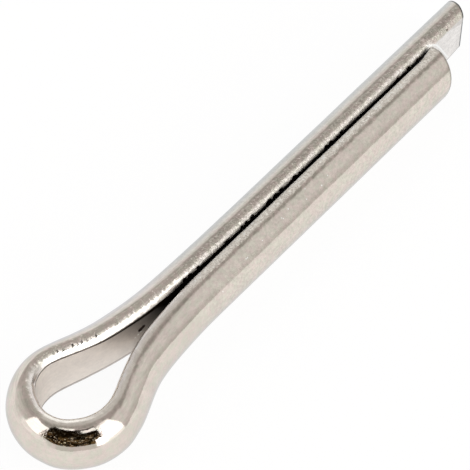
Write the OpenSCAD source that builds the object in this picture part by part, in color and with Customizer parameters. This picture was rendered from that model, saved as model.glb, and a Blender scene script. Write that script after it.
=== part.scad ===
// Split cotter pin, nominal 4 x 22 mm: one half-round wire folded into an eye and two legs,
// flat to flat. The loop lies in the XY plane, the shank runs along +X with the long leg on +Y,
// and z = 0 is mid-height, so the pin lying on its side rests on z = -(edge_h + edge_r).
// Origin: on the shank's axis, where the legs have closed behind the eye.

/* [Shank] */
// Diameter across the closed legs
shank_d = 3.6; // [3:0.1:4.4]
// Width of the slit between the two flats
slit_w = 0.16; // [0.08:0.04:0.24]
// Rounding of the two long edges of the wire
edge_r = 0.4; // [0.2:0.02:0.44]
// Eye centre to the tip of the long leg, along its flat
long_leg = 30.1; // [20:0.1:60]
// Length by which the long leg's flat runs past the short one's
overhang = 3.2; // [2:0.1:4]
// Slope of the long leg's sheared end seen from above, round side longer
long_slope = 22; // [0:1:25]
// Slope of the short leg's sheared end seen from the side, top edge longer
short_rake = 16; // [0:1:20]

/* [Eye] */
// Radius of the eye's inner face
eye_r = 1.82; // [1.66:0.04:2.1]
// Eye centre to the point where the legs have closed
eye_to_seat = 9; // [8.8:0.1:12]

/* [Hidden] */
$fn = 96;
wire_r = shank_d / 2;
half_slit = slit_w / 2;
// The arcs of the section cross this far proud of tangency, so the corner between them is clean
cross_over = 0.004;
// Height of the edge rounding's centre above mid-height
edge_h = sqrt(pow(wire_r - edge_r, 2) - pow(edge_r + half_slit, 2)) + cross_over;
// Far enough to cut past the whole eye
reach = 5 * shank_d;

// A neck bend touches the eye's inner circle and the leg's flat. The line from the eye's centre
// to the bend's centre is the long side of a whole-number right triangle [along, across, long],
// so both bends end in the same plane. The long leg leaves at 22.6 degrees, the short at 25.1.
long_neck = neck_centre([5, 12, 13]);
short_neck = neck_centre([36, 77, 85]);

function neck_centre(triangle) =
    (eye_r - half_slit) / (triangle[2] - triangle[1]) * [triangle[0], triangle[1]];

// Half-round wire section: flat on x = 0, round side towards +X
module wire_section() {
    difference() {
        intersection() {
            translate([-half_slit, 0]) circle(r = wire_r);
            translate([0, -wire_r]) square([wire_r, shank_d]);
        }
        edge_waste();
        mirror([0, 1]) edge_waste();
    }
}

// What the rounding takes off the sharp edge on the section's +Y side
module edge_waste() {
    difference() {
        polygon([
            [edge_r, edge_h],
            [-edge_r, edge_h],
            [-edge_r, shank_d],
            [edge_r + (edge_r + half_slit) / edge_h * (shank_d - edge_h), shank_d]
        ]);
        translate([edge_r, edge_h]) circle(r = edge_r);
    }
}

// Everything above and below an outline drawn in the XY plane
module plan(points) {
    translate([0, 0, -shank_d]) linear_extrude(2 * shank_d) polygon(points);
}

// Eye: a ring of the wire with its flat inwards, open between the two necks
module eye() {
    a = long_neck;
    b = short_neck;
    intersection() {
        rotate_extrude() translate([eye_r, 0]) wire_section();
        plan([[0, 0], a, [-reach, a[1]], [-reach, -b[1]], [b[0], -b[1]]]);
    }
}

// Neck of the leg on +Y: a ring round the bend's centre c, kept from the eye to the leg
module neck(c) {
    intersection() {
        translate([c[0], c[1], 0]) rotate_extrude()
            translate([c[1] - half_slit, 0]) mirror([1, 0]) wire_section();
        plan([[0, 0], c, [c[0], -wire_r]]);
    }
}

// Straight leg on +Y from x = start, its end sheared off at a slope and a rake
module leg(start, tip, slope, rake) {
    difference() {
        translate([start, half_slit, 0]) rotate([90, 0, 90])
            linear_extrude(tip + wire_r - start) wire_section();
        translate([tip, half_slit, 0]) rotate([0, rake, -slope])
            translate([0, -reach / 2, -reach / 2]) cube(reach);
    }
}

module split_pin() {
    color("silver") translate([-eye_to_seat, 0, 0]) {
        eye();
        neck(long_neck);
        leg(long_neck[0], long_leg, long_slope, 0);
        mirror([0, 1, 0]) {
            neck(short_neck);
            leg(short_neck[0], long_leg - overhang, 0, short_rake);
        }
    }
}

split_pin();
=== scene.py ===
"""Looks of the split cotter pin: the folded half-round wire in worn bright steel, on a white floor."""

import math
from types import SimpleNamespace

import bpy
import numpy as np
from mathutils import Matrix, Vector, noise

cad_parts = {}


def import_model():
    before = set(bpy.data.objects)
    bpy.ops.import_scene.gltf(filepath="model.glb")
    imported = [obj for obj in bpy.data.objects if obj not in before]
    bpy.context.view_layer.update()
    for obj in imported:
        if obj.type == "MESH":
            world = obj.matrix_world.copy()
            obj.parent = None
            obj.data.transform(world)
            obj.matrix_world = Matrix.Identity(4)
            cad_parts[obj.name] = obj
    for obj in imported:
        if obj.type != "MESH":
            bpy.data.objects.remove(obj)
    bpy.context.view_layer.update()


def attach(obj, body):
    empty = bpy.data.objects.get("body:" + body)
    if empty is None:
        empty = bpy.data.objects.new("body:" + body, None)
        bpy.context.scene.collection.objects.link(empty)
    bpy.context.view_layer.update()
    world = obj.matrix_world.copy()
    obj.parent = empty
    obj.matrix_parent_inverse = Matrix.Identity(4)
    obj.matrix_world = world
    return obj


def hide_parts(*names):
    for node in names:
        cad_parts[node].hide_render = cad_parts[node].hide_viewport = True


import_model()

MM = 0.001

# --- The wire, in millimetres. Its flat is the inside of the fold, its round back the outside. ---
BACK_R = 1.8  # radius of the round back
BACK_IN = 0.127  # the back's centre lies this far on the slit's side of the flat
EDGE_R = 0.44  # rounding of the wire's two long edges
SLIT = 0.146  # between the flats of the closed legs
LONG_TIP = 21.11  # x of the long leg's end, on its flat
SHORT_TIP = 17.9
RING_STEP = 0.08  # spacing of the mesh's rings along the wire
FINE_STEP = 0.05  # and along the long leg and its neck, whose edge is nicked
FINE_FROM = -10.5
TRACE_STEP = 0.005  # the flat is traced in steps of this length, and then thinned out to the rings
TRACE_LENGTH = 42.0  # longer than either leg

# The fold, from the eye's far end outwards: (length of flat, radius, length over which the bend
# eases into the next one). A negative radius bends back towards the shank.
EYE_END = (-10.83, -0.08)  # the flat at the eye's far end
EYE_TILT = math.radians(5.2)  # the far end leans this much towards the long leg
LONG_BENDS = ((3.67, 1.75, 1.43), (7.11, -17.35, 1.67), (6.0, -147.0, 0.73))
SHORT_BENDS = ((4.13, 1.68, 3.7), (2.63, -3.13, 2.23), (5.36, -36.9, 0.3))

# Bending drew the wire a little thinner: (x of the thinnest place, share taken off)
DRAWN_WIDTH = 2.16
DRAWN_EYE = (-9.49, 0.024)
DRAWN_LONG = (-6.25, 0.052)
DRAWN_SHORT = (-6.25, -0.006)

# Where the bent wire bulges or lies flatter than that: (distance along the flat from the eye's far
# end towards the short leg, how far the flat is pushed outwards there, how far the back is)
BULGES = (
    (-7.5, 0.0, 0.0), (-5.6, 0.0, -0.02), (-4.7, -0.025, -0.035), (-3.9, -0.045, -0.045),
    (-3.0, -0.045, -0.03), (-1.9, 0.0, -0.06), (-1.3, 0.0, -0.04), (-0.8, 0.0, -0.03),
    (0.1, -0.045, 0.0), (0.65, -0.04, 0.065), (1.35, -0.07, 0.06), (1.9, -0.05, 0.1),
    (2.75, -0.02, 0.083), (3.4, 0.0, 0.01), (4.2, 0.0, -0.015), (5.8, 0.07, 0.0), (7.8, 0.0, 0.0),
)
# How far the flat's top corner leans out beyond its bottom one there: (distance, lean)
LEANS = (
    (-7.8, 0.0), (-6.2, -0.045), (-5.6, -0.03), (-3.0, 0.21), (-1.3, 0.045), (-0.85, 0.0),
    (-0.4, 0.08), (0.1, 0.08), (1.1, 0.0), (2.6, 0.0), (3.2, 0.02), (4.0, 0.0),
)
LEAN_EASE = 0.35  # the lean changes gradually over twice this length
LEAN_FROM, LEAN_TO = 0.35, 1.5  # further out than the first it is less, and past the second none
LEAN_HEIGHT = 2.4  # and going down it fades over this height, half of it above mid-height
BURR = (-13.02, 0.1, -0.6)  # a small burr on the eye's outline
BURR_SIZE = (0.08, 0.09)  # how far it stands, and its radius

# Sheared ends: slope seen from above and rake seen from the side, in degrees
LONG_SHEAR = (23.3, 2.5)
SHORT_SHEAR = (2.0, 17.2)
SHEAR_RUN = 3.0  # the rings turn from square to the sheared plane over this length
# Each sheared end: the x its flat ends at, its shear, and the side of the slit it is on
SHEARED = ((LONG_TIP, LONG_SHEAR, 1), (SHORT_TIP, SHORT_SHEAR, -1))
END_ROUND = 0.1  # rounding of the sheared faces' rims
# Rings over a sheared end: the rim's, by how far each has turned inwards in degrees, and the face's,
# which shrink to a point
RIM_TURNS = (22, 45, 67, 90)
FACE_RINGS = 14
FACE_SHRINK = (0.97, 0.04)  # the first one's size and the last one's, as shares of the face

# On the long neck the edge is a bevel, (out, up) from the flat's corner, and rounded above it. It
# begins on the eye, at a distance along the flat from the eye's far end, and ends at an x.
BEVEL = (0.236, 0.277)
BEVEL_TURN = (math.radians(25), math.radians(24))  # lean of the surface where that round begins, ends
BEVEL_BEGINS, BEVEL_BEGINS_RUN = -1.3, 1.3
BEVEL_ENDS, BEVEL_ENDS_RUN = -0.2, 2.6
BEVEL_RAGGED, BEVEL_RAGGED_SIZE = 0.35, 0.16  # its width varies this much, over this length
BEVEL_RAGGED_LIMITS = (-0.3, 0.4)

# The shear pushed the short leg's top edge this far towards the long leg, and left it sharper
PINCH = 0.06
PINCH_SHARP = 0.6
PINCH_RUN = 0.8  # length of it
PINCH_HEIGHT = 0.7  # it grows from this height to twice that
PINCH_TO = 0.78  # and fades out this far from the flat, over the next length inwards
PINCH_FADE = 0.6
# The shear rolled the long tip's lower edge in: (x, by how much). It did so below this height.
ROLLED_IN = ((17.2, 0.0), (18.4, 0.08), (20.2, 0.1), (21.1, 0.24))
ROLLED_BELOW = -0.5

# Girth, which is the way round a ring from the flat's top corner, in millimetres
LIP_TO = 0.79  # the rough lip ends
SEAM = 0.92  # and the seam between it and the back lies here
LOW_CORNER = 5.87  # the bottom edge meets the flat
GIRTH = 8.34  # all the way round

# Points round a ring
EDGE_POINTS = 20
BACK_POINTS = 30
FLAT_POINTS = 12

# Roughness that is part of the shape: how far it stands, and the size of its features
WAVE, WAVE_SIZE = 0.005, 1.6
RIPPLE, RIPPLE_SIZE = 0.0012, 0.5
EDGE_ROUGH, EDGE_ROUGH_SIZE = 0.006, 0.2
# Nicks in the long leg's top edge, where it meets the slit: (x, half its length, how far it
# reaches up from the dark edge)
NICKS = (
    (-0.75, 0.14, 0.1), (-0.4, 0.14, 0.1), (0.22, 0.1, 0.09), (2.35, 0.22, 0.04),
    (3.5, 0.11, 0.11), (3.85, 0.11, 0.12), (4.3, 0.17, 0.15), (5.57, 0.21, 0.12),
    (6.07, 0.2, 0.09), (6.52, 0.16, 0.12), (7.55, 0.17, 0.11), (7.92, 0.05, 0.04),
    (8.2, 0.06, 0.05), (10.05, 0.15, 0.08), (10.4, 0.16, 0.09), (10.9, 0.07, 0.04),
    (11.27, 0.13, 0.11), (15.75, 0.08, 0.04), (16.65, 0.13, 0.09), (17.38, 0.05, 0.04),
)
NICK_DEPTH = 0.6  # as a share of its reach
NICK_TO = 0.8  # girth up to which they are cut into the surface
NO_NICK = -3.0  # the mark of a point that is far from any nick
DARK_EDGE = 0.125  # girth up to which the long leg's edge is lost in the slit's painted shade
# Painted shade on the flats where the legs close: share of it by x, which lower down begins further on
SLIT_SHADE = (
    (-7.0, 0.0), (-6.0, 0.08), (-5.5, 0.2), (-5.0, 0.3), (-4.5, 0.38), (-4.0, 0.48), (-3.5, 0.56),
    (-3.0, 0.74), (-2.5, 1.0),
)
SLIT_SHADE_LEAN = 1.2
SLIT_SHADE_TOP, SLIT_SHADE_BOTTOM = 1.0, -0.3  # the table holds at this height, and leans down to this
SLIT_SHADE_PAST = ((0.9, -0.4), (1.35, 0.2))  # height, and how far past the short tip it goes
SLIT_SHADE_FADE = 0.12  # and over what length it ends there
# The painted shade takes in the long leg's edge from this x on, over this length
SLIT_DARK_FROM, SLIT_DARK_RUN = -2.0, 1.2
BENT_TO, BENT_RUN = 0.5, 3.0  # the bends are smoother than the legs: x where they end, and over what

# --- The view, in the pin's own frame. Headings turn from +X towards +Y. ---
VIEW_HEADING = math.radians(40.72)
VIEW_ELEVATION = math.radians(55.31)
VIEW_DISTANCE = 182.05
VIEW_AIM = (3.628, 0.667, 0.0)
SENSOR = 36.0
LENS = 277.19


def smooth(t):
    """0 below 0, 1 above 1, and an S-shaped rise between them."""
    t = np.clip(t, 0.0, 1.0)
    return t * t * (3 - 2 * t)


# ---------------------------------------------------------------------------------- the wire


def travelled(points):
    """How far along a line of points each one lies."""
    return np.concatenate([[0], np.cumsum(np.linalg.norm(np.diff(points, axis=0), axis=1))])


def trace(bends, heading, turn, goal, tip, leg_step):
    """The flat from the eye's far end to a leg's tip: points and headings, one row a step.

    turn is 1 where the flat turns anticlockwise on its way, and goal is the y it ends on."""
    run = np.arange(0, TRACE_LENGTH, TRACE_STEP)
    curvature = np.full_like(run, 1 / bends[0][1])
    end = 0.0
    after = [1 / radius for _, radius, _ in bends[1:]] + [0.0]
    for (length, radius, ease), following in zip(bends, after):
        end += length
        curvature += (following - 1 / radius) * 0.5 * (1 + np.tanh(2 * (run - end) / ease))
    turned = np.concatenate([[0], np.cumsum((curvature[1:] + curvature[:-1]) / 2 * TRACE_STEP)])
    # What is missing to lie exactly along the shank is closed over the neck
    neck = smooth((run - bends[0][0]) / (end - bends[0][0]))
    direction = heading + turn * turned
    along_shank = round(direction[-1] / (2 * math.pi)) * 2 * math.pi
    direction += (along_shank - direction[-1]) * neck
    step = np.stack([np.cos(direction), np.sin(direction)], 1)
    points = np.concatenate([[[0, 0]], np.cumsum((step[1:] + step[:-1]) / 2 * TRACE_STEP, 0)])
    points += EYE_END
    points[:, 1] += (goal - points[-1, 1]) * neck
    reach = int(np.argmax(points[:, 0] > tip))
    spacing = np.where(points[:reach, 0] > FINE_FROM, leg_step, RING_STEP)
    passed = np.cumsum(TRACE_STEP / spacing)
    pick = np.searchsorted(passed, np.linspace(passed[0], passed[-1], int(passed[-1])))
    return points[pick], direction[pick]


def wire_path():
    """Points of the flat from the long tip round the eye to the short tip, and outward normals."""
    half = SLIT / 2
    up = trace(LONG_BENDS, math.pi / 2 + EYE_TILT, -1, half, LONG_TIP, FINE_STEP)
    down = trace(SHORT_BENDS, -math.pi / 2 + EYE_TILT, 1, -half, SHORT_TIP, RING_STEP)
    points = np.concatenate([up[0][::-1], down[0][1:]])
    heading = np.concatenate([up[1][::-1] + math.pi, down[1][1:]])
    outward = np.stack([np.sin(heading), -np.cos(heading)], 1)
    return points, outward, len(up[0])


def bevelled(start, end, share):
    """An edge as a bevel from start and a round to end; share stretches the bevel, one a ring."""
    split = EDGE_POINTS // 2
    turn_in, turn_out = BEVEL_TURN
    corner = start + np.array(BEVEL) * share[:, None]
    # The round's control point is where the tangents at both of its ends meet
    away = np.array([math.cos(turn_in), math.sin(turn_in)])
    back = np.array([-math.cos(turn_out), math.sin(turn_out)])
    gap = end - corner
    reach = (gap[:, 0] * back[1] - gap[:, 1] * back[0]) / (away[0] * back[1] - away[1] * back[0])
    control = corner + away * np.maximum(reach, 0.05)[:, None]
    t = np.linspace(0, 1, split)[:, None]
    bevel = start + (corner - start)[:, None] * t
    t = np.linspace(0, 1, EDGE_POINTS - split + 1)[1:, None]
    shoulder = (1 - t) ** 2 * corner[:, None] + 2 * t * (1 - t) * control[:, None] + t ** 2 * end
    return np.concatenate([bevel, shoulder], 1)


def outlines(square, creased, stretch):
    """Half-round outlines, one per ring: (out from the flat, up), and each point's normal.

    The points go over the top edge from the flat, down the back, round the bottom edge and up the
    flat. square is 0 where a ring's top edge is a plain round, and 1 where it is pinched sharp;
    creased is 1 where it is a bevel, stretched as stretch says."""
    height = math.sqrt((BACK_R - EDGE_R) ** 2 - (EDGE_R + BACK_IN) ** 2)
    meet = math.atan2(height, EDGE_R + BACK_IN)
    a = np.linspace(math.pi, meet, EDGE_POINTS)
    b = meet * np.linspace(1, -1, BACK_POINTS + 2)[1:-1]
    c = height * np.linspace(-1, 1, FLAT_POINTS + 2)[1:-1]
    power = 1 - PINCH_SHARP * square[:, None] * (a > math.pi / 2)
    edge = np.stack([EDGE_R + EDGE_R * np.sign(np.cos(a)) * np.abs(np.cos(a)) ** power,
                     height + EDGE_R * np.sin(a) ** power], -1)
    bevel = bevelled(np.array([0, height]), edge[0, -1], stretch)
    edge += (bevel - edge) * creased[:, None, None]
    low_edge = np.stack([EDGE_R + EDGE_R * np.cos(a), -height - EDGE_R * np.sin(a)], -1)[::-1]
    back = np.stack([-BACK_IN + BACK_R * np.cos(b), BACK_R * np.sin(b)], -1)
    flat = np.stack([np.zeros_like(c), c], -1)
    rest = np.concatenate([back, low_edge, flat])
    outline = np.concatenate([edge, np.broadcast_to(rest, (len(edge),) + rest.shape)], 1)
    turn = np.concatenate([a, b, -a[::-1], np.full(FLAT_POINTS, -math.pi)])
    return outline, np.stack([np.cos(turn), np.sin(turn)], -1)


def thinning(points):
    """How thick the wire is across its flat, as a share of the straight wire."""

    def dip(place):
        return place[1] * np.exp(-(((points[:, 0] - place[0]) / DRAWN_WIDTH) ** 2))

    return 1 - dip(DRAWN_EYE) - np.where(points[:, 1] > 0, dip(DRAWN_LONG), dip(DRAWN_SHORT))


def eased(table, s):
    """The columns of a table between its knots, the first column; s is each ring's place."""
    knots, *columns = np.array(table).T
    i = np.clip(np.searchsorted(knots, s) - 1, 0, len(knots) - 2)
    t = smooth((s - knots[i]) / (knots[i + 1] - knots[i]))
    return [v[i] + (v[i + 1] - v[i]) * t for v in columns]


def bulged(out, s):
    """Outline distances from the flat with the bulges added; s is each ring's place along it."""
    low, high = eased(BULGES, s)
    return low[:, None] + out * (1 + (high - low) / (BACK_R - BACK_IN))[:, None]


def shear_offset(out, up, shear):
    """How far a point of a sheared end lies beyond the tip of the flat."""
    slope, rake = (math.tan(math.radians(a)) for a in shear)
    return (out + SLIT / 2) * slope + up * rake


def cap_rings(outline, tip, shear, side):
    """Rings that close a sheared end, from its rounded rim to a single point in its middle."""
    middle = outline.mean(0)
    size = np.abs(outline - middle).max()
    flat_rings = []
    for turn in np.radians(RIM_TURNS):
        share = 1 - END_ROUND * (1 - math.cos(turn)) / size
        flat_rings.append((middle + (outline - middle) * share, END_ROUND * math.sin(turn) - END_ROUND))
    face = flat_rings[-1][0]
    for share in np.linspace(*FACE_SHRINK, FACE_RINGS):
        flat_rings.append((middle + (face - middle) * share, 0.0))
    flat_rings.append((middle[None], 0.0))
    rings = []
    for ring, forward in flat_rings:
        x = tip + shear_offset(ring[:, 0], ring[:, 1], shear) + forward
        rings.append(np.stack([x, side * (SLIT / 2 + ring[:, 0]), ring[:, 1]], 1))
    return rings


def bumps(places, size):
    """Noise from -1 to 1 at places given in millimetres, with features of the given size."""
    values = np.array([noise.noise(place) for place in places.reshape(-1, 3) / size])
    return values.reshape(places.shape[:-1])


def nicked(x, girth):
    """1 in the middle of a nick, 0 on its outline and less outside, for each ring and point."""
    deepest = np.full((len(x), len(girth)), NO_NICK)
    for place, half, rise in NICKS:
        above = (girth - DARK_EDGE) / rise
        deepest = np.maximum(deepest, 1 - ((x[:, None] - place) / half) ** 2 - above[None] ** 2)
    return deepest


def roughen(xyz, normal, girth, nicks):
    """What drawing, folding and shearing left on the wire: waves, rough edges, a burr and nicks."""
    # The noises are read at places shifted apart, so that their features don't fall together
    shift = WAVE * bumps(xyz, WAVE_SIZE) + RIPPLE * bumps(xyz + 40, RIPPLE_SIZE)
    edge = (girth < SEAM) + (girth > LOW_CORNER - SEAM) * (girth < LOW_CORNER)
    shift = shift + edge * EDGE_ROUGH * bumps(xyz + 80, EDGE_ROUGH_SIZE)
    reach = max(rise for _, _, rise in NICKS)
    far = np.linalg.norm(xyz - np.array(BURR), axis=-1)
    shift = shift + BURR_SIZE[0] * np.exp(-((far / BURR_SIZE[1]) ** 2))
    shift = shift - NICK_DEPTH * reach * smooth(nicks * 1.2) * (girth < NICK_TO)
    return xyz + normal * shift[..., None]


def sections(points, s, long_leg):
    """The wire's section at each ring, as drawn, folded and sheared: out and up of each point.

    Then come the points' normals, and the plain outline that the long tip has."""
    x = points[:, 0]
    pinch = smooth((x - SHORT_TIP + PINCH_RUN) / PINCH_RUN) * ~long_leg
    creased = smooth((BEVEL_BEGINS - s) / BEVEL_BEGINS_RUN) * smooth((BEVEL_ENDS - x) / BEVEL_ENDS_RUN)
    ragged = bumps(np.stack([s, s * 0, s * 0], -1)[:, None], BEVEL_RAGGED_SIZE)[:, 0]
    stretch = 1 + BEVEL_RAGGED * np.clip(ragged, *BEVEL_RAGGED_LIMITS)
    outline, turned = outlines(pinch, creased, stretch)
    out, up = bulged(outline[..., 0] * thinning(points)[:, None], s), outline[..., 1]
    rolled = np.interp(x, *np.array(ROLLED_IN).T) * long_leg
    up = up + rolled[:, None] * smooth(ROLLED_BELOW - up)
    part = np.clip((LEAN_TO - out) / (LEAN_TO - LEAN_FROM), 0, 1) * smooth(0.5 + up / LEAN_HEIGHT)
    around = np.linspace(-LEAN_EASE, LEAN_EASE, 9)
    lean = np.mean([np.interp(s + d, *np.array(LEANS).T) for d in around], 0)
    out = out + lean[:, None] * part
    pinched = smooth((up - PINCH_HEIGHT) / PINCH_HEIGHT) * smooth((PINCH_TO - out) / PINCH_FADE)
    out = out - PINCH * pinch[:, None] * pinched
    return out, up, turned, outline[0]


def wire_mesh():
    """Rings of points along the wire, and where and what each one is, for the mesh and the material.

    With the rings come how far along each one lies, the girth at each point, and its nicks."""
    points, outward, long_count = wire_path()
    x = points[:, 0]
    long_leg = np.arange(len(points)) < long_count
    along = travelled(points)
    out, up, turned, plain = sections(points, along - along[long_count - 1], long_leg)
    xyz = np.concatenate([points[:, None] + out[..., None] * outward[:, None], up[..., None]], -1)
    upward = np.broadcast_to(turned[:, 1:], (len(points), len(turned), 1))
    normal = np.concatenate([turned[:, :1] * outward[:, None], upward], -1)
    girth = travelled(np.vstack([plain, plain[:1]]))
    nicks = np.where(long_leg[:, None], nicked(x, girth[:-1]), NO_NICK)
    xyz = roughen(xyz, normal, girth[:-1], nicks)
    for tip, shear, side in SHEARED:
        leg = points[:, 1] * side > 0
        blend = smooth(1 - (tip - x) / SHEAR_RUN) * leg * (x > 0)
        # The last ring stands back by the rim's rounding
        xyz[..., 0] += blend[:, None] * (shear_offset(out, up, shear) - END_ROUND)
    first = cap_rings(np.stack([out[0], up[0]], -1), *SHEARED[0])
    last = cap_rings(np.stack([out[-1], up[-1]], -1), *SHEARED[1])
    rings = first[::-1] + list(xyz) + last
    along = np.pad(along, len(first), mode="edge")
    # The single points at both ends carry no nick
    nicks = np.pad(nicks, ((len(first) - 1, len(last) - 1), (0, 0)), mode="edge")
    return rings, along, girth, nicks


def skin(rings, along, girth, nicks):
    """A closed mesh over the rings, of which the first and last are single points.

    Its UV map holds the way along the wire and round it, in metres."""
    around = len(rings[1])
    starts = np.cumsum([0] + [len(r) for r in rings])
    verts = np.concatenate(rings) * MM
    faces, uvs = [], []
    for i in range(1, len(rings) - 2):
        a, b = starts[i], starts[i + 1]
        for j in range(around):
            k = (j + 1) % around
            faces.append((a + j, a + k, b + k, b + j))
            uvs += [(along[i], girth[j]), (along[i], girth[j + 1]),
                    (along[i + 1], girth[j + 1]), (along[i + 1], girth[j])]
    last = starts[-2]
    for j in range(around):
        k = (j + 1) % around
        faces.append((0, starts[1] + k, starts[1] + j))
        uvs += [(0, 0)] * 3
        faces.append((last, starts[-3] + j, starts[-3] + k))
        uvs += [(0, 0)] * 3
    mesh = bpy.data.meshes.new("wire")
    mesh.from_pydata(verts.tolist(), [], faces)
    layer = mesh.uv_layers.new(name="wire")
    layer.data.foreach_set("uv", (np.array(uvs) * MM).ravel())
    mesh.polygons.foreach_set("use_smooth", [True] * len(mesh.polygons))
    paint(mesh, rings, nicks)
    mesh.update()
    return mesh


def paint(mesh, rings, nicks):
    """Marks for the material, one number a point: worn edges, the slit's painted shade, bends and cut
    ends.
    """
    around = len(rings[1])
    sides = len(rings) - 2
    j = np.arange(around)
    top_edge = (EDGE_POINTS - 1) / 2
    low_edge = EDGE_POINTS * 1.5 + BACK_POINTS - 0.5
    to_edge = np.minimum(np.abs(j - top_edge), np.abs(j - low_edge))
    on_edge = np.tile(smooth((EDGE_POINTS / 2 + 0.5 - to_edge) / 1.5), sides)
    # The flat, with two points of the edge at either side of it
    on_flat = np.tile(((j < 2) | (j >= around - FLAT_POINTS - 2)).astype(float), sides)
    x, y, z = np.concatenate(rings[1:-1]).T
    # The slit's painted shade, by x and height, ending past the short tip
    low = SLIT_SHADE_TOP - np.maximum(z, SLIT_SHADE_BOTTOM)
    shade = np.interp(x - SLIT_SHADE_LEAN * low, *np.array(SLIT_SHADE).T)
    dark = smooth((x - SLIT_DARK_FROM) / SLIT_DARK_RUN)
    short_end = SHORT_TIP + z * math.tan(math.radians(SHORT_SHEAR[1]))
    short_end = short_end + np.interp(z, *np.array(SLIT_SHADE_PAST).T)
    covered = smooth((short_end - x) / SLIT_SHADE_FADE)
    cut = np.zeros((sides, around))
    cut[:FACE_RINGS] = 1.0
    cut[-FACE_RINGS:] = 1.0
    # The rim's rings and the wire's last one
    rim_to = FACE_RINGS + len(RIM_TURNS) + 1
    rim = np.zeros((sides, around))
    rim[FACE_RINGS:rim_to] = 1.0
    rim[-rim_to:-FACE_RINGS] = 1.0
    marks = {"edge": on_edge, "bent": smooth((BENT_TO - x) / BENT_RUN),
             "slit": on_flat * covered * shade, "shut": dark * covered, "flat": on_flat,
             "rim": rim.ravel(), "cut": cut.ravel(), "short": (y < 0) * 1.0, "nick": nicks.ravel()}
    for name, values in marks.items():
        layer = mesh.attributes.new(name, "FLOAT", "POINT")
        layer.data.foreach_set("value", np.concatenate([[0], values, [0]]))


# ------------------------------------------------------------------------------- the materials


class Nodes:
    """A short way to write a node tree: each call makes nodes and links what it is given."""

    def __init__(self, tree):
        self.tree = tree
        tree.nodes.clear()

    def add(self, kind, inputs=None, **settings):
        """One node. Its inputs are given by name or number, each a value, a node or a socket."""
        node = self.tree.nodes.new(kind)
        for name, value in settings.items():
            setattr(node, name, value)
        for name, value in (inputs or {}).items():
            self.put(node.inputs[name], value)
        return node

    def put(self, socket, value):
        """Link a socket to a node or to another's socket, or else set its value."""
        if isinstance(value, bpy.types.NodeSocket):
            self.tree.links.new(value, socket)
        elif isinstance(value, bpy.types.Node):
            self.tree.links.new(value.outputs[0], socket)
        else:
            socket.default_value = value

    def math(self, operation, *values):
        return self.add("ShaderNodeMath", dict(enumerate(values)), operation=operation).outputs[0]

    def times(self, first, *others):
        for value in others:
            first = self.math("MULTIPLY", first, value)
        return first

    def plus(self, first, *others):
        for value in others:
            first = self.math("ADD", first, value)
        return first

    def less(self, value, taken):
        return self.math("SUBTRACT", value, taken)

    def rest(self, share):
        """What a share leaves of the whole."""
        return self.less(1.0, share)

    def most(self, one, other):
        return self.math("MAXIMUM", one, other)

    def off(self, value, target):
        """How far a value is from a target, to either side."""
        return self.math("ABSOLUTE", self.less(value, target))

    def vector(self, operation, one, other):
        """A vector sum: a distance and a dot product are numbers, and the others are vectors."""
        output = "Value" if operation in ("DISTANCE", "DOT_PRODUCT") else "Vector"
        return self.add("ShaderNodeVectorMath", {0: one, 1: other}, operation=operation).outputs[output]

    def scaled(self, vector, factor):
        """A vector or a colour times a number."""
        inputs = {0: vector, "Scale": factor}
        return self.add("ShaderNodeVectorMath", inputs, operation="SCALE").outputs[0]

    def remap(self, value, low, high, to_low, to_high, ease="LINEAR"):
        return self.add("ShaderNodeMapRange", {
            "Value": value, "From Min": low, "From Max": high, "To Min": to_low, "To Max": to_high,
        }, interpolation_type=ease).outputs[0]

    def rise(self, value, low, high, ease="LINEAR"):
        """0 up to low and 1 from high on."""
        return self.remap(value, low, high, 0.0, 1.0, ease)

    def fall(self, value, low, high, ease="LINEAR"):
        """1 up to low and 0 from high on."""
        return self.remap(value, low, high, 1.0, 0.0, ease)

    def between(self, share, at_none, at_all):
        """A number that goes from one value to another as a share goes from 0 to 1."""
        return self.remap(share, 0.0, 1.0, at_none, at_all)

    def spread(self, noise, low, high):
        """Noise, which seldom leaves its middle, spread between two values."""
        return self.remap(noise, 0.3, 0.7, low, high)

    def mark(self, name):
        return self.add("ShaderNodeAttribute", attribute_name=name).outputs["Fac"]

    def noise(self, place, size, detail):
        """Noise from 0 to 1 with features of the given size in millimetres."""
        return self.add("ShaderNodeTexNoise", {"Vector": place, "Scale": 1 / size, "Detail": detail,
                                               "Roughness": 0.6}).outputs[0]

    def blend(self, share, below, above):
        """Mix of two colours, each a colour's three numbers or a socket."""
        below, above = ((*c, 1) if isinstance(c, tuple) else c for c in (below, above))
        return self.add("ShaderNodeMixRGB", {0: share, 1: below, 2: above}).outputs[0]

    def specks(self, place, spacing, size, share, height):
        """Small domes: their spacing and radius in millimetres, and the share of them that is there."""
        cells = self.add("ShaderNodeTexVoronoi", {"Vector": place, "Scale": 1 / spacing})
        there = self.math("GREATER_THAN", cells.outputs["Color"], 1 - share)
        dome = self.remap(cells.outputs["Distance"], 0.0, size / spacing, height, 0.0, "SMOOTHSTEP")
        return self.times(dome, there)


# Painted highlights, as bright specks: place and radius
SPECK_HIGHLIGHTS = (
    (2.25, -1.25, 1.24, 0.05), (2.35, -1.26, 1.23, 0.05), (5.19, -1.06, 1.41, 0.04),
    (5.8, -0.98, 1.47, 0.05), (8.12, -1.23, 1.26, 0.055), (8.72, -1.11, 1.37, 0.04),
    (7.25, -0.85, 1.55, 0.04), (3.58, -1.18, 1.31, 0.04), (5.25, -1.13, 1.36, 0.045),
    (6.96, -1.21, 1.28, 0.045), (0.19, -1.51, 0.89, 0.04), (6.78, 0.31, 1.76, 0.06),
    (19.8, 0.09, 1.28, 0.06), (-3.97, 0.43, -0.1, 0.08),
    (-4.16, 0.46, -0.2, 0.06), (-3.8, 0.4, 0.0, 0.06),
)
# Painted shade for pits, one at the long tip and two that make the notch where the legs close: place,
# radius and how dark
SHADED_PITS = (
    (19.85, 0.12, 1.44, 0.08, 0.8), (-3.82, 0.39, 0.2, 0.19, 1.0), (-3.66, 0.37, 0.28, 0.17, 1.0),
)
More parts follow.
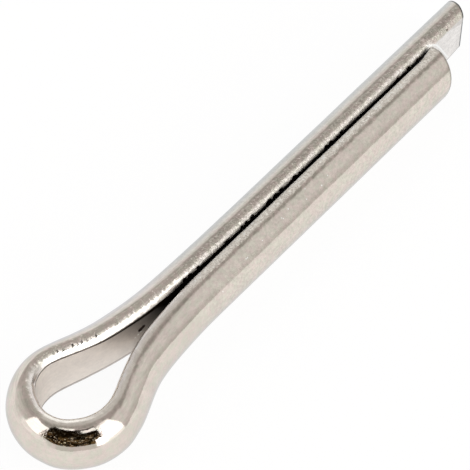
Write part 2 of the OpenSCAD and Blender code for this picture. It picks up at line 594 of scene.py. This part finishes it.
# Scuffed spots on the eye's near side: place and radius
SCUFFS = ((-11.95, -0.55, 1.26, 0.4), (-9.9, -2.6, 1.35, 0.45))
# A painted highlight along the flash the shears left on the long flat round the short tip: (x, z) along
# it
FLASH = ((18.31, 1.53), (18.71, 1.33), (19.0, 1.0), (19.32, 0.43), (19.62, -0.18), (20.02, -1.0))
FLASH_WIDTH = 0.05

# The steel's colours
DRAWN, DRAWN_STAINED = (0.73, 0.64, 0.582), (0.685, 0.65, 0.565)
SHORT_LIP = (0.9, 0.85, 0.77)
WORN_LIP = (1.0, 0.97, 0.92)
# Painted highlight along the necks' lips
NECK_LIP_HIGHLIGHT = (1.0, 0.95, 0.92)
LONG_SHADE_BAND = (0.1, 0.08, 0.07)  # painted shade along the long leg, under its lip
# Painted shade along the seam between the lip and the back
SEAM_SHADE = (0.07, 0.05, 0.04)
NECK_SHADE_BAND = (0.22, 0.19, 0.16)  # painted shade along the short neck, between its bright ones
BARE_FLAT = (0.86, 0.82, 0.78)  # the long leg's flat past the short tip
EYE_WALL = (0.93, 0.875, 0.82)  # the flat inside the eye
# Painted cooler reflection on the long leg's neck, and a cooler, darker one along its back
LONG_NECK_COOL_REFLECTION = (0.7, 0.66, 0.63)
LONG_BACK_COOL_REFLECTION = (0.62, 0.605, 0.565)
CUT_FACE, CUT_RIM = (0.72, 0.69, 0.65), (0.1, 0.095, 0.09)
# Painted shade along the flat's corners
CORNER_SHADE = (0.04, 0.03, 0.025)
# Painted shade under the long neck's bevel
BEVEL_SHADE_LINE = (0.02, 0.013, 0.01)
# The lip at the long tip, and painted shade along its rolled-in lower corner
TIP_LIP, TIP_SHADE_LINE = (0.6, 0.56, 0.52), (0.25, 0.23, 0.21)
# Painted shade in the nicks, and a painted glint round them
NICK_SHADE, NICK_GLINT = (0.04, 0.027, 0.019), (1.0, 0.98, 0.95)
# Painted shade in the slit, at its mouth and further in
SLIT_SHADE_MOUTH, SLIT_SHADE_DEEP = (0.03, 0.016, 0.007), (0.012, 0.007, 0.004)
# Painted highlight of the bright specks and the flash
SPECK_HIGHLIGHT = (1.0, 1.0, 0.97)
# Painted shade of the pits
PIT_SHADE = (0.05, 0.025, 0.015)
SHEEN = (0.8, 0.82, 0.85, 1)  # tint of reflections at a grazing angle

# The steel's noises: size in millimetres, and detail
GRAIN, FLECKS, SCUFFED = (0.17, 2), (0.1, 1), (0.09, 2)
RAGGED, STAIN, MOTTLE = (0.25, 3), (0.35, 3), (0.9, 4)
STREAKS, STREAKS_ALONG = (0.16, 3), 0.3  # their scale along the wire, as a share of that round it

# Where its looks change along the pin, each from one x to another
BARE_FLAT_X = (18.5, 18.75)
SHORT_NECK_LIP_X, LONG_NECK_LIP_X = (-8.4, -7.2), (-9.9, -9.2)
NECK_BAND_X = (-9.5, -8.0)
EYE_WALL_X = (-10.6, -8.6)
LONG_NECK_X = (-9.4, -8.2)
CORNER_EYE_X, CORNER_FAINT_X = (-10.3, -9.8), (-8.0, -5.0)
BEVEL_LINE_X, BEVEL_LINE_WIDENS_X, BEVEL_LINE_ENDS_X = (-9.5, -6.5), (-6.8, -3.0), (0.0, 1.0)
TIP_LIP_X = (19.9, 20.9)
SLIT_DEEP_X = (-3.0, -1.5)

# And round the wire, each from one girth to another
DARK_EDGE_SHORT = DARK_EDGE + 0.08  # as DARK_EDGE, on the short leg
WORN_FROM, WORN_TO, WORN_TO_SHORT = 0.25, 0.55, 0.62
LIP_SOFT = 0.04  # to either side of LIP_TO
SEAM_HALF = (0.03, 0.12)  # from the seam's middle
NECK_LIP_TO = (0.45, 0.7)
NECK_BAND_FROM, NECK_BAND_TO = (0.55, 1.02), (1.02, 1.14)
LONG_BAND_FROM, LONG_BAND_TO = (0.56, 0.7), (0.92, 1.02)
LONG_BACK_FROM, LONG_BACK_TO = (1.0, 1.4), (LOW_CORNER - 0.3, LOW_CORNER)
CORNER_TO, CORNER_TO_SHORT = (0.02, 0.05), (0.09, 0.15)
CORNER_BACK = (GIRTH - 0.06, GIRTH - 0.02)  # the corner as seen from the flat
LOW_CORNER_HALF = (0.03, 0.07)  # from the low corner
STREAKS_TO = (1.6, 2.2)
TIP_LINE_AT, TIP_LINE_HALF = LOW_CORNER - 0.12, (0.04, 0.16)
FLASH_LIP_TO = (0.45, 0.6)
BEVEL_TO = (0.45, 0.52)


def surface(n):
    """What the steel's colour, roughness and relief are made from, each a node or a socket.

    place, x, girth and across are in millimetres, and unrolled is the UV map, in metres. nick is 1 in
    a nick's middle and 0 on its outline. The others go from 0 to 1: they are noises, and how much a
    point belongs to a part of the wire."""
    s = SimpleNamespace()
    s.place = n.scaled(n.add("ShaderNodeTexCoord").outputs["Object"], 1 / MM)
    s.x = n.add("ShaderNodeSeparateXYZ", {0: s.place}).outputs["X"]
    s.unrolled = n.add("ShaderNodeUVMap", uv_map="wire")
    s.girth = n.times(n.add("ShaderNodeSeparateXYZ", {0: s.unrolled}).outputs["Y"], 1 / MM)
    for name in ("edge", "slit", "shut", "flat", "rim", "cut", "short", "bent", "nick"):
        setattr(s, name, n.mark(name))
    s.long, s.straight = n.rest(s.short), n.rest(s.bent)
    s.grain = n.noise(s.place, *GRAIN)
    s.mottle = n.noise(s.place, *MOTTLE)
    s.stain = n.noise(s.place, *STAIN)
    s.across = n.plus(s.girth, n.spread(n.noise(s.place, *RAGGED), -0.03, 0.03))
    s.beyond = n.times(s.long, n.rise(s.x, *BARE_FLAT_X))
    # The rough lip along the slit, and its worn edge
    s.lip = n.fall(s.across, LIP_TO - LIP_SOFT, LIP_TO + LIP_SOFT)
    worn_to = n.between(s.short, WORN_TO, WORN_TO_SHORT)
    worn = n.fall(n.plus(s.girth, n.spread(s.stain, -0.14, 0.14)), WORN_FROM, worn_to)
    s.worn = n.times(worn, n.rest(s.beyond))
    # The slit's painted shade takes in the very edge of the long leg
    edge_shade = n.plus(s.girth, n.spread(s.stain, -0.015, 0.015))
    edge_shade = n.less(edge_shade, n.between(s.short, DARK_EDGE, DARK_EDGE_SHORT))
    s.dark = n.most(s.slit, n.times(n.fall(edge_shade, -0.02, 0.02), s.shut))
    return s


def lips(n, s):
    """Colour of the drawn back and the rough lips along the slit, with a painted highlight on the
    necks' lips and painted shade along the seams where they meet and in bands beside them.
    """
    colour = n.blend(n.rise(s.stain, 0.42, 0.58), DRAWN, DRAWN_STAINED)
    colour = n.blend(n.times(s.lip, s.short), colour, SHORT_LIP)
    colour = n.blend(n.times(s.worn, n.between(s.short, 0.65, 1.0)), colour, WORN_LIP)
    # Painted highlight on the necks' lips
    neck_highlight = n.most(n.times(s.short, n.rise(s.x, *SHORT_NECK_LIP_X)),
                  n.times(s.long, n.remap(s.x, *LONG_NECK_LIP_X, 0.7, 0.0)))
    colour = n.blend(n.times(neck_highlight, s.bent, n.fall(s.across, *NECK_LIP_TO)), colour, NECK_LIP_HIGHLIGHT)
    # Painted shade in a band along the long leg, under its lip
    shade_band = n.times(n.remap(s.girth, *LONG_BAND_FROM, 0.0, 0.25), n.fall(s.girth, *LONG_BAND_TO))
    colour = n.blend(n.times(shade_band, s.long, s.straight), colour, LONG_SHADE_BAND)
    # Painted shade along the seam, blotchy with the stain
    seam_shade = n.times(n.fall(n.off(s.across, SEAM), *SEAM_HALF), n.remap(s.stain, 0.35, 0.6, 0.1, 1.0),
                   n.most(n.between(s.short, 0.3, 1.0), n.times(s.bent, 0.6)))
    colour = n.blend(n.times(seam_shade, 0.3), colour, SEAM_SHADE)
    # Painted shade in a band along the short neck, between its bright ones
    shade_band = n.times(n.rise(s.across, *NECK_BAND_FROM), n.fall(s.across, *NECK_BAND_TO), s.bent)
    shade_band = n.times(shade_band, n.times(s.short, 0.15), n.rise(s.x, *NECK_BAND_X))
    return n.blend(shade_band, colour, NECK_SHADE_BAND)


def with_faces(n, s, colour):
    """The colour with the flats, the long leg's back and neck in a painted cooler reflection, the rims
    and painted shade in the corners.
    """
    colour = n.blend(n.times(s.beyond, s.flat), colour, BARE_FLAT)
    wall = n.times(s.flat, s.bent, n.remap(s.x, *EYE_WALL_X, 0.3, 1.0))
    colour = n.blend(wall, colour, EYE_WALL)
    # The long leg's painted cooler reflection, on its neck and along its back
    back_from, back_to = n.rise(s.girth, *LONG_BACK_FROM), n.fall(s.girth, *LONG_BACK_TO)
    neck = n.times(s.long, s.bent, back_from, n.rise(s.x, *LONG_NECK_X), back_to)
    colour = n.blend(neck, colour, LONG_NECK_COOL_REFLECTION)
    colour = n.blend(n.times(s.long, s.straight, back_from, back_to), colour, LONG_BACK_COOL_REFLECTION)
    colour = n.blend(n.times(s.rim, n.between(s.short, 0.95, 0.45)), colour, CUT_RIM)
    # Painted shade along the flat's corners in the bends, fainter on the long leg further on
    low, high = (n.between(s.short, *ends) for ends in zip(CORNER_TO, CORNER_TO_SHORT))
    high = n.most(high, n.remap(s.x, *CORNER_EYE_X, 0.1, 0.0))
    corner = n.most(n.fall(s.girth, low, high), n.rise(s.girth, *CORNER_BACK))
    low_corner_shade = n.fall(n.off(s.girth, LOW_CORNER), *LOW_CORNER_HALF)
    corner = n.most(corner, n.times(low_corner_shade, 0.6))
    faint = n.most(n.remap(s.x, *CORNER_FAINT_X, 0.8, 0.5), s.short)
    return n.blend(n.times(n.times(corner, s.bent), faint), colour, CORNER_SHADE)


def with_mottle(n, s, colour):
    """The colour with its mottle, speckle, streaks round the bends and flecks on the lips."""
    drawn_out = n.vector("MULTIPLY", s.unrolled, (STREAKS_ALONG / MM, 1 / MM, 1))
    streaks = n.spread(n.noise(drawn_out, *STREAKS), -0.1, 0.1)
    shade = n.plus(n.spread(s.mottle, 0.95, 1.05),
                   n.times(n.spread(s.grain, -0.1, 0.1), n.between(s.bent, 1.0, 0.3)),
                   n.times(streaks, n.times(s.bent, n.remap(s.girth, *STREAKS_TO, 1.0, 0.2))))
    colour = n.scaled(colour, shade)
    flecks = n.spread(n.noise(s.place, *FLECKS), -0.22, 0.22)
    flecks = n.times(s.lip, s.straight, flecks, n.between(s.beyond, 1.0, 0.4))
    return n.scaled(colour, n.plus(1.0, n.less(flecks, n.times(s.lip, s.beyond, 0.12))))


def with_lines(n, s, colour):
    """The colour with painted shade lines along the flat's corners, and the cut faces."""
    # Painted shade: the dark line on the flat under the bevelled neck grows wider towards the slit
    down = n.less(GIRTH, s.girth)
    line_to = n.remap(s.x, *BEVEL_LINE_WIDENS_X, 0.065, 0.25)
    line = n.times(n.fall(down, n.times(line_to, 0.6), line_to), s.flat)
    line = n.times(line, n.remap(s.x, *BEVEL_LINE_X, 0.3, 1.0), s.long, n.fall(s.x, *BEVEL_LINE_ENDS_X))
    colour = n.blend(line, colour, BEVEL_SHADE_LINE)
    # At the long tip the lip widens over the flat, and painted shade draws a line along the rolled-in
    # lower corner
    widened = n.fall(n.less(down, n.remap(s.x, *TIP_LIP_X, -0.1, 0.3)), 0.0, 0.08)
    colour = n.blend(n.times(widened, s.flat, s.beyond, 0.6), colour, TIP_LIP)
    tip_shade_line = n.remap(n.off(s.girth, TIP_LINE_AT), *TIP_LINE_HALF, 0.55, 0.0)
    colour = n.blend(n.times(tip_shade_line, s.beyond), colour, TIP_SHADE_LINE)
    return n.blend(s.cut, colour, CUT_FACE)


def with_slit(n, s, colour):
    """The colour with painted shade in the nicks along the slit, painted glints on their borders, and
    the slit's painted shade.
    """
    # A painted glint round each nick's border, and painted shade in it
    glint = n.times(n.remap(s.nick, -0.9, -0.1, 0.0, 0.9), n.fall(s.nick, -0.1, 0.1))
    colour = n.blend(glint, colour, NICK_GLINT)
    nick_shade = n.times(n.rise(s.nick, 0.0, 0.25), n.remap(s.nick, 0.25, 0.7, 0.95, 0.72))
    colour = n.blend(nick_shade, colour, NICK_SHADE)
    return n.blend(s.dark, colour, n.blend(n.rise(s.x, *SLIT_DEEP_X), SLIT_SHADE_MOUTH, SLIT_SHADE_DEEP))


def flash(n, s):
    """1 along the line of the shears' flash and 0 away from it, seen from the side."""
    nearest = 10.0  # millimetres, which is further off than any part of the line
    for (x0, z0), (x1, z1) in zip(FLASH, FLASH[1:]):
        length = math.hypot(x1 - x0, z1 - z0)
        along = ((x1 - x0) / length, 0, (z1 - z0) / length)
        across = (-along[2], 0, along[0])
        from_middle = n.vector("SUBTRACT", s.place, ((x0 + x1) / 2, 0, (z0 + z1) / 2))
        aside = n.math("ABSOLUTE", n.vector("DOT_PRODUCT", from_middle, across))
        ahead = n.math("ABSOLUTE", n.vector("DOT_PRODUCT", from_middle, along))
        nearest = n.math("MINIMUM", nearest, n.most(n.less(ahead, length / 2), aside))
    return n.fall(nearest, FLASH_WIDTH * 0.6, FLASH_WIDTH * 1.2)


def with_spots(n, s, colour):
    """The colour with its painted highlights in bright specks, its pits' painted shade and a painted
    highlight along the flash round the short tip.
    """
    for *at, radius in SPECK_HIGHLIGHTS:
        speck_highlight = n.fall(n.vector("DISTANCE", s.place, at), radius * 0.5, radius)
        colour = n.blend(speck_highlight, colour, SPECK_HIGHLIGHT)
    for *at, radius, share in SHADED_PITS:
        pit_shade = n.remap(n.vector("DISTANCE", s.place, at), radius * 0.6, radius, share, 0.0)
        colour = n.blend(pit_shade, colour, PIT_SHADE)
    # Painted highlight along the flash, on the flat and the lip
    seen = n.times(flash(n, s), n.most(s.flat, n.fall(s.girth, *FLASH_LIP_TO)))
    return n.blend(n.times(seen, n.times(s.long, 0.9)), colour, SPECK_HIGHLIGHT)


def roughness(n, s):
    """Smooth in the bends and on the back, rougher on the lips, the eye's wall and the cut ends."""
    return n.plus(
        n.spread(s.mottle, n.between(s.bent, 0.08, 0.05), n.between(s.bent, 0.12, 0.08)),
        n.times(s.edge, n.spread(s.stain, 0.0, 0.15)),
        n.times(s.lip, s.straight, n.between(s.short, 0.1, 0.2)),
        n.times(s.worn, s.straight, 0.25),
        n.times(s.flat, s.bent, 0.55),
        n.times(s.lip, s.bent, 0.08),
        n.times(s.dark, 0.5),
        n.times(s.cut, 0.4))


def relief(n, s):
    """Height of the finest relief, in metres: grain, small domes and the scuffs on the eye."""
    bevel = n.times(s.long, s.bent, n.fall(s.girth, *BEVEL_TO))
    depth = n.plus(n.times(s.lip, 0.025 * MM), n.times(s.edge, 0.006 * MM))
    depth = n.times(depth, n.between(s.bent, 1.0, n.between(s.short, 0.4, 0.2)))
    depth = n.plus(n.times(depth, n.between(bevel, 1.0, 0.1)), 0.002 * MM)
    domes = n.specks(s.place, 0.9, 0.05, 0.5, 0.02 * MM)
    height = n.plus(n.times(s.grain, depth), n.times(domes, n.rest(bevel)))
    for *at, radius in SCUFFS:
        near = n.fall(n.vector("DISTANCE", s.place, at), radius * 0.5, radius)
        height = n.plus(height, n.times(n.noise(s.place, *SCUFFED), near, 0.006 * MM))
    return height


def steel():
    """Bright nickel-toned steel with a fine drawn grain, a faint mottle and scattered specks, with
    painted highlights, painted shade and a painted cooler reflection in its colour.
    """
    material = bpy.data.materials.new("bright_wire")
    material.use_nodes = True
    n = Nodes(material.node_tree)
    s = surface(n)
    colour = lips(n, s)
    for add_to in (with_faces, with_mottle, with_lines, with_slit, with_spots):
        colour = add_to(n, s, colour)
    bump = n.add("ShaderNodeBump", {"Height": relief(n, s), "Distance": 1.0, "Strength": 1.0})
    shader = n.add("ShaderNodeBsdfPrincipled", {
        "Metallic": 1.0, "Base Color": colour, "Roughness": roughness(n, s), "Normal": bump,
        "Specular Tint": SHEEN})
    n.add("ShaderNodeOutputMaterial", {"Surface": shader})
    return material


# ------------------------------------------------------------------------------ the studio

FORWARD = Vector((math.cos(VIEW_HEADING), math.sin(VIEW_HEADING), 0))
RIGHT = Vector((math.sin(VIEW_HEADING), -math.cos(VIEW_HEADING), 0))


def toward(azimuth, elevation):
    """Direction in the studio: azimuth 0 is straight ahead of the viewer, 90 to the right."""
    a, e = math.radians(azimuth), math.radians(elevation)
    level = FORWARD * math.cos(a) + RIGHT * math.sin(a)
    return level * math.cos(e) + Vector((0, 0, math.sin(e)))


# The light tent round the pin, painted one patch over another. Each patch: the middle of its
# azimuth and half its width, its lowest and highest elevation, how soft its borders are (all in
# degrees), and its level, where 1 is as bright as the white floor.
TENT = (
    ("near_top", 12, 48, 48, 72, 6, 0.51),
    ("right_wall", 75, 32, 1, 50, 3, 0.79),
    ("right_skirting", 94, 18, -14, 14, 10, 0.62),
    ("top_joint", 93, 14, 51, 66, 3, 0.46),
    ("top_joint_ahead", 66, 19, 42, 66, 3, 0.48),
    ("far_wall", 8, 20, 8, 44, 8, 1.08),
    ("far_left_wall", 338, 10, 12, 57, 5, 0.53),
    ("dark_left", 314, 11, 3, 46, 4, 0.52),
    ("front_header", 196, 23, 65, 69.5, 1, 1.7),
    ("header_left", 219, 9, 56, 66, 2, 1.3),
    ("left_glow", 246, 21, -25, 14, 5, 1.12),
    ("front_apron", 178, 27, -2, 14, 3, 0.68),
    ("softbox_spill", 125, 17.5, -1, 60, 2, 1.3),
    ("right_softbox", 121.5, 13.5, 8, 56, 1.2, 2.0),
    ("softbox_foot", 141.5, 9.5, 5, 26, 1.2, 3.2),
    ("left_edge", 225, 4, 18, 50, 2, 0.8),
    ("left_softbox", 245, 16.5, 14, 50, 1.5, 1.7),
    ("front_gleam", 152, 14, 54, 62, 1.5, 1.3),
)
TENT_HORIZON = 0.88
TENT_TOP = 0.50
TENT_TOP_FROM = 0.64  # sine of the elevation from which the tent is no darker
TENT_DIM, TENT_DIM_COLOUR = 0.45, (1.03, 0.98, 0.95)  # up to this level the tent is a warm white
TENT_PLAIN, TENT_PLAIN_COLOUR = 0.9, (1.0, 1.0, 1.0)  # and from this one on a plain white
OPENING = (183.5, 48, 15.5, 65, 1.0)  # the open front round the camera: a dim room
OPENING_CUTS = ((152, 14, 54, 62, 1.0), (141, 9.5, 5, 26, 1.0))  # the gleam and the softbox's foot
ROOM_DARK, ROOM_DIM, ROOM_BRIGHT = (0.004, 0.002, 0.0), (0.16, 0.1, 0.04), (0.95, 0.85, 0.66)
ROOM_FEWER = (0.6, 0.72)  # sines of the elevations between which its things give out
# The dim things in it, and the bright ones: scale and detail of their noise, and where they begin
ROOM_CLUTTER, ROOM_LIGHTS = (10.0, 3.0, 0.47, 0.6), (19.0, 1.0, 0.62, 0.67)
WHITE = (1.0, 1.0, 1.0, 1.0)
FLOOR_HALF = 1.5  # in metres
FLOOR_PAPER = (0.85, 0.85, 0.85, 1.0)  # its colour where it takes the pin's shadow
FLOOR_LEVEL = 1.08  # its own level, as the camera and reflections see it
FLOOR_SHARE = 0.85  # how much of that goes over the paper


def room(n, direction, height):
    """Colour of the dim room in front of the tent, with some bright things in its lower part."""
    fewer = n.remap(height, *ROOM_FEWER, 1.0, 0.1)

    def scattered(scale, detail, low, high):
        noise = n.add("ShaderNodeTexNoise", {"Vector": direction, "Scale": scale, "Detail": detail})
        return n.times(n.rise(noise.outputs[0], low, high), fewer)

    shade = n.blend(scattered(*ROOM_CLUTTER), ROOM_DARK, ROOM_DIM)
    return n.blend(scattered(*ROOM_LIGHTS), shade, ROOM_BRIGHT)


def world():
    """A light tent: plain white to the camera, walls, two softboxes and an open front to the pin."""
    made = bpy.data.worlds.new("tent")
    bpy.context.scene.world = made
    made.use_nodes = True
    n = Nodes(made.node_tree)
    direction = n.add("ShaderNodeTexCoord").outputs["Generated"]
    height = n.add("ShaderNodeSeparateXYZ", {0: direction}).outputs["Z"]
    level = n.vector("MULTIPLY", direction, (1, 1, 0))
    level = n.add("ShaderNodeVectorMath", {0: level}, operation="NORMALIZE")

    def patch(azimuth, half, low, high, soft):
        """1 inside a patch of the tent and 0 outside it."""
        dot = n.vector("DOT_PRODUCT", level, toward(azimuth, 0))
        sines = [math.sin(math.radians(e)) for e in (low - soft, low + soft, high - soft, high + soft)]
        sides = [math.cos(math.radians(a)) for a in (half + soft, max(half - soft, 0))]
        return n.times(n.rise(dot, *sides, "SMOOTHSTEP"), n.rise(height, *sines[:2], "SMOOTHSTEP"),
                       n.fall(height, *sines[2:], "SMOOTHSTEP"))

    total = n.remap(height, 0.0, TENT_TOP_FROM, TENT_HORIZON, TENT_TOP)
    for _, *place, strength in TENT:
        total = n.plus(total, n.times(patch(*place), n.less(strength, total)))
    opening = patch(*OPENING)
    for cut in OPENING_CUTS:
        opening = n.times(opening, n.rest(patch(*cut)))
    warm = n.blend(n.rise(total, TENT_DIM, TENT_PLAIN), TENT_DIM_COLOUR, TENT_PLAIN_COLOUR)
    tent = n.add("ShaderNodeBackground", {"Color": warm, "Strength": total})
    front = n.add("ShaderNodeBackground", {"Color": room(n, direction, height), "Strength": 1.0})
    tent = n.add("ShaderNodeMixShader", {0: opening, 1: tent, 2: front})
    light_path = n.add("ShaderNodeLightPath")
    white = n.add("ShaderNodeBackground", {"Color": WHITE, "Strength": 1.0})
    mix = n.add("ShaderNodeMixShader", {0: light_path.outputs["Is Camera Ray"], 1: tent, 2: white})
    n.add("ShaderNodeOutputWorld", {"Surface": mix})


def floor(z):
    """A white floor at height z: plain to the camera and in reflections, but for the pin's shadow."""
    half = FLOOR_HALF
    mesh = bpy.data.meshes.new("floor")
    mesh.from_pydata([(-half, -half, z), (half, -half, z), (half, half, z), (-half, half, z)], [],
                     [(0, 1, 2, 3)])
    obj = bpy.data.objects.new("floor", mesh)
    bpy.context.scene.collection.objects.link(obj)
    material = bpy.data.materials.new("white_sweep")
    material.use_nodes = True
    n = Nodes(material.node_tree)
    path = n.add("ShaderNodeLightPath")
    seen = n.most(path.outputs["Is Camera Ray"], path.outputs["Is Glossy Ray"])
    paper = n.add("ShaderNodeBsdfDiffuse", {"Color": FLOOR_PAPER})
    white = n.add("ShaderNodeEmission", {"Color": WHITE, "Strength": FLOOR_LEVEL})
    mix = n.add("ShaderNodeMixShader", {0: n.times(seen, FLOOR_SHARE), 1: paper, 2: white})
    n.add("ShaderNodeOutputMaterial", {"Surface": mix})
    mesh.materials.append(material)


def camera():
    """The photo's camera, aimed at VIEW_AIM from VIEW_DISTANCE away."""
    data = bpy.data.cameras.new("camera")
    data.sensor_width = SENSOR
    data.lens = LENS
    data.clip_start, data.clip_end = 0.01, 10.0
    obj = bpy.data.objects.new("camera", data)
    look = FORWARD * math.cos(VIEW_ELEVATION) - Vector((0, 0, math.sin(VIEW_ELEVATION)))
    obj.location = (Vector(VIEW_AIM) - look * VIEW_DISTANCE) * MM
    obj.rotation_mode = "QUATERNION"
    obj.rotation_quaternion = look.to_track_quat("-Z", "Y")
    bpy.context.scene.collection.objects.link(obj)
    bpy.context.scene.camera = obj


rings, along, girth, nicks = wire_mesh()
wire = bpy.data.objects.new("pin_wire", skin(rings, along, girth, nicks))
bpy.context.scene.collection.objects.link(wire)
wire.data.materials.append(steel())
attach(wire, "root")
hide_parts("split_pin")

rest_z = min(ring[:, 2].min() for ring in rings) * MM
world()
floor(rest_z)
camera()

scene = bpy.context.scene
scene.view_settings.view_transform = "Standard"
